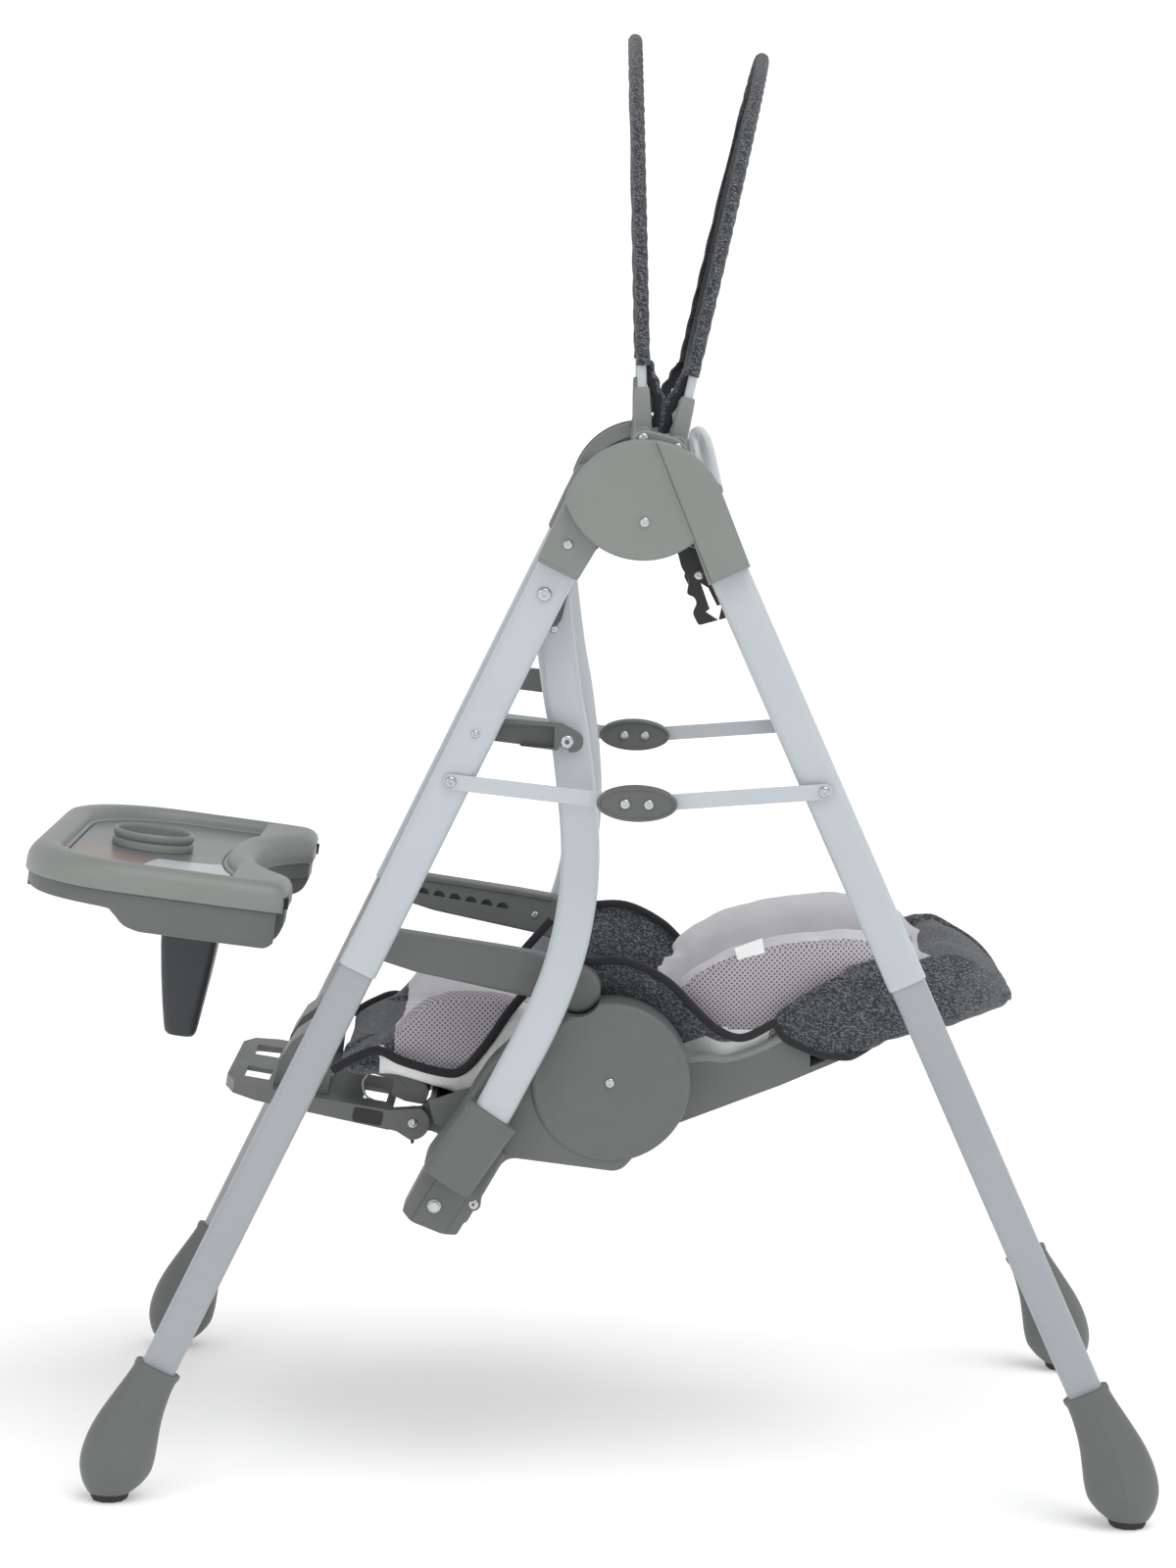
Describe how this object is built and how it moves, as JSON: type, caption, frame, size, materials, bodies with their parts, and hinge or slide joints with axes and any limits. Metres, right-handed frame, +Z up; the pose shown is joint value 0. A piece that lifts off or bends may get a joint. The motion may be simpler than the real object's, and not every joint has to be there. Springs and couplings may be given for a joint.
{
  "type": "baby swing",
  "caption": "Folding baby swing with a reclining hung seat, sliding tray, leg rest and a two-hoop canopy on an A-frame.",
  "frame": {"origin": "middle of the whole object's box, on the floor", "axes": "+Z up, -X the way the child faces, +Y the child's right"},
  "size_m": [1.1204, 0.676, 1.4211],
  "materials": {
    "tube_paint": "satin powder coat",
    "grey_plastic": "fine moulded texture",
    "dark_plastic": "fine moulded texture",
    "black_plastic": "satin",
    "zinc_steel": "zinc plated",
    "pad_rubber": "matte",
    "melange_fabric": "woven melange",
    "mesh_liner": "spacer mesh",
    "insert_card": "printed sheet, plain colours"
  },
  "bodies": {
    "front_frame": {"left_front_leg_upper": "tube_paint", "left_front_leg_lower": "tube_paint", "left_front_boot": "grey_plastic", "left_front_foot_pad": "pad_rubber", "left_front_collar": "grey_plastic", "left_hub_bolt": "zinc_steel", "right_front_leg_upper": "tube_paint", "right_front_leg_lower": "tube_paint", "right_front_boot": "grey_plastic", "right_front_foot_pad": "pad_rubber", "right_front_collar": "grey_plastic", "right_hub_bolt": "zinc_steel", "front_crossbar": "tube_paint"},
    "rear_frame": {"left_rear_leg_upper": "tube_paint", "left_rear_leg_lower": "tube_paint", "left_rear_boot": "grey_plastic", "left_rear_foot_pad": "pad_rubber", "left_hub_shell": "grey_plastic", "right_rear_leg_upper": "tube_paint", "right_rear_leg_lower": "tube_paint", "right_rear_boot": "grey_plastic", "right_rear_foot_pad": "pad_rubber", "right_hub_shell": "grey_plastic", "rear_crossbar": "tube_paint", "top_tube": "tube_paint"},
    "left_front_link_body": {"left_front_link": "tube_paint"},
    "left_knuckle_body": {"left_knuckle": "dark_plastic"},
    "left_rear_link_body": {"left_rear_link": "tube_paint"},
    "left_latch_body": {"left_fold_latch": "black_plastic"},
    "left_lock_body": {"left_swing_lock": "dark_plastic"},
    "left_armrest_body": {"left_armrest": "grey_plastic"},
    "right_front_link_body": {"right_front_link": "tube_paint"},
    "right_knuckle_body": {"right_knuckle": "dark_plastic"},
    "right_rear_link_body": {"right_rear_link": "tube_paint"},
    "right_latch_body": {"right_fold_latch": "black_plastic"},
    "right_lock_body": {"right_swing_lock": "dark_plastic"},
    "right_armrest_body": {"right_armrest": "grey_plastic"},
    "swing_frame": {"seat_shell": "grey_plastic", "seat_pad": "mesh_liner", "left_swing_arm": "tube_paint", "left_hanger": "dark_plastic", "left_arm_socket": "grey_plastic", "left_side_housing": "grey_plastic", "right_swing_arm": "tube_paint", "right_hanger": "dark_plastic", "right_arm_socket": "grey_plastic", "right_side_housing": "grey_plastic"},
    "backrest": {"back_shell": "grey_plastic", "back_pad": "melange_fabric"},
    "leg_rest_body": {"leg_rest": "grey_plastic", "foot_plate": "grey_plastic"},
    "tray_body": {"tray_rim": "grey_plastic", "tray_base": "grey_plastic", "tray_insert": "insert_card", "cup_ring": "grey_plastic", "crotch_post": "dark_plastic"},
    "front_hoop_body": {"front_hoop": "tube_paint", "front_canopy": "melange_fabric"},
    "rear_hoop_body": {"rear_hoop": "tube_paint", "rear_canopy": "melange_fabric"}
  },
  "joints": [
    {"name": "fold", "type": "hinge", "parent": "front_frame", "child": "rear_frame", "pos_m": [0.04017, 0, 0.956], "axis": [0, 1, 0], "range_deg": [0, 48]},
    {"name": "left_front_link_turn", "type": "hinge", "parent": "front_frame", "child": "left_front_link_body", "pos_m": [-0.13583, -0.3125, 0.706], "axis": [0, 1, 0], "range_deg": [0, 91.9]},
    {"name": "left_knuckle_turn", "type": "hinge", "parent": "left_front_link_body", "child": "left_knuckle_body", "pos_m": [0.02897, -0.3125, 0.6905], "axis": [0, 1, 0], "range_deg": [-67.9, 0]},
    {"name": "left_rear_link_turn", "type": "hinge", "parent": "rear_frame", "child": "left_rear_link_body", "pos_m": [0.21617, -0.3125, 0.706], "axis": [0, 1, 0], "range_deg": [-91.9, 0]},
    {"name": "right_front_link_turn", "type": "hinge", "parent": "front_frame", "child": "right_front_link_body", "pos_m": [-0.13583, 0.3125, 0.706], "axis": [0, 1, 0], "range_deg": [0, 91.9]},
    {"name": "right_knuckle_turn", "type": "hinge", "parent": "right_front_link_body", "child": "right_knuckle_body", "pos_m": [0.02897, 0.3125, 0.6905], "axis": [0, 1, 0], "range_deg": [-67.9, 0]},
    {"name": "right_rear_link_turn", "type": "hinge", "parent": "rear_frame", "child": "right_rear_link_body", "pos_m": [0.21617, 0.3125, 0.706], "axis": [0, 1, 0], "range_deg": [-91.9, 0]},
    {"name": "left_latch_slide", "type": "slide", "parent": "rear_frame", "child": "left_latch_body", "axis": [0.4247, 0, -0.9053], "range_m": [0, 0.01], "stiffness_N_per_m": 600, "springref_m": -0.002},
    {"name": "left_lock_turn", "type": "hinge", "parent": "front_frame", "child": "left_lock_body", "pos_m": [-0.11383, -0.28, 0.7515], "axis": [0, -1, 0], "range_deg": [0, 80]},
    {"name": "right_latch_slide", "type": "slide", "parent": "rear_frame", "child": "right_latch_body", "axis": [0.4247, 0, -0.9053], "range_m": [0, 0.01], "stiffness_N_per_m": 600, "springref_m": -0.002},
    {"name": "right_lock_turn", "type": "hinge", "parent": "front_frame", "child": "right_lock_body", "pos_m": [-0.11383, 0.28, 0.7515], "axis": [0, -1, 0], "range_deg": [0, 80]},
    {"name": "swing", "type": "hinge", "parent": "front_frame", "child": "swing_frame", "pos_m": [0.04017, 0, 0.956], "axis": [0, 1, 0], "range_deg": [-12, 12]},
    {"name": "recline", "type": "hinge", "parent": "swing_frame", "child": "backrest", "pos_m": [0.02167, 0, 0.4077], "axis": [0, -1, 0], "range_deg": [0, 50]},
    {"name": "leg_rest_turn", "type": "hinge", "parent": "swing_frame", "child": "leg_rest_body", "pos_m": [-0.17333, 0, 0.343], "axis": [0, -1, 0], "range_deg": [0, 65]},
    {"name": "left_armrest_turn", "type": "hinge", "parent": "swing_frame", "child": "left_armrest_body", "pos_m": [-0.01183, -0.207, 0.495], "axis": [0, 1, 0], "range_deg": [0, 70]},
    {"name": "right_armrest_turn", "type": "hinge", "parent": "swing_frame", "child": "right_armrest_body", "pos_m": [-0.01183, 0.207, 0.495], "axis": [0, 1, 0], "range_deg": [0, 70]},
    {"name": "tray_slide", "type": "slide", "parent": "left_armrest_body", "child": "tray_body", "axis": [0.979, 0, -0.204], "range_m": [0, 0.1226]},
    {"name": "front_hoop_turn", "type": "hinge", "parent": "rear_frame", "child": "front_hoop_body", "pos_m": [0.03717, 0, 1.034], "axis": [0, -1, 0], "range_deg": [0, 85]},
    {"name": "rear_hoop_turn", "type": "hinge", "parent": "rear_frame", "child": "rear_hoop_body", "pos_m": [0.06917, 0, 1.026], "axis": [0, 1, 0], "range_deg": [0, 45]}
  ],
  "couplings": [
    {"joint": "left_front_link_turn", "follows": "fold", "ratio": 1.9126},
    {"joint": "left_knuckle_turn", "follows": "fold", "ratio": -1.4126},
    {"joint": "left_rear_link_turn", "follows": "fold", "ratio": -1.9126},
    {"joint": "right_front_link_turn", "follows": "fold", "ratio": 1.9126},
    {"joint": "right_knuckle_turn", "follows": "fold", "ratio": -1.4126},
    {"joint": "right_rear_link_turn", "follows": "fold", "ratio": -1.9126},
    {"joint": "right_armrest_turn", "follows": "left_armrest_turn", "ratio": 1}
  ]
}
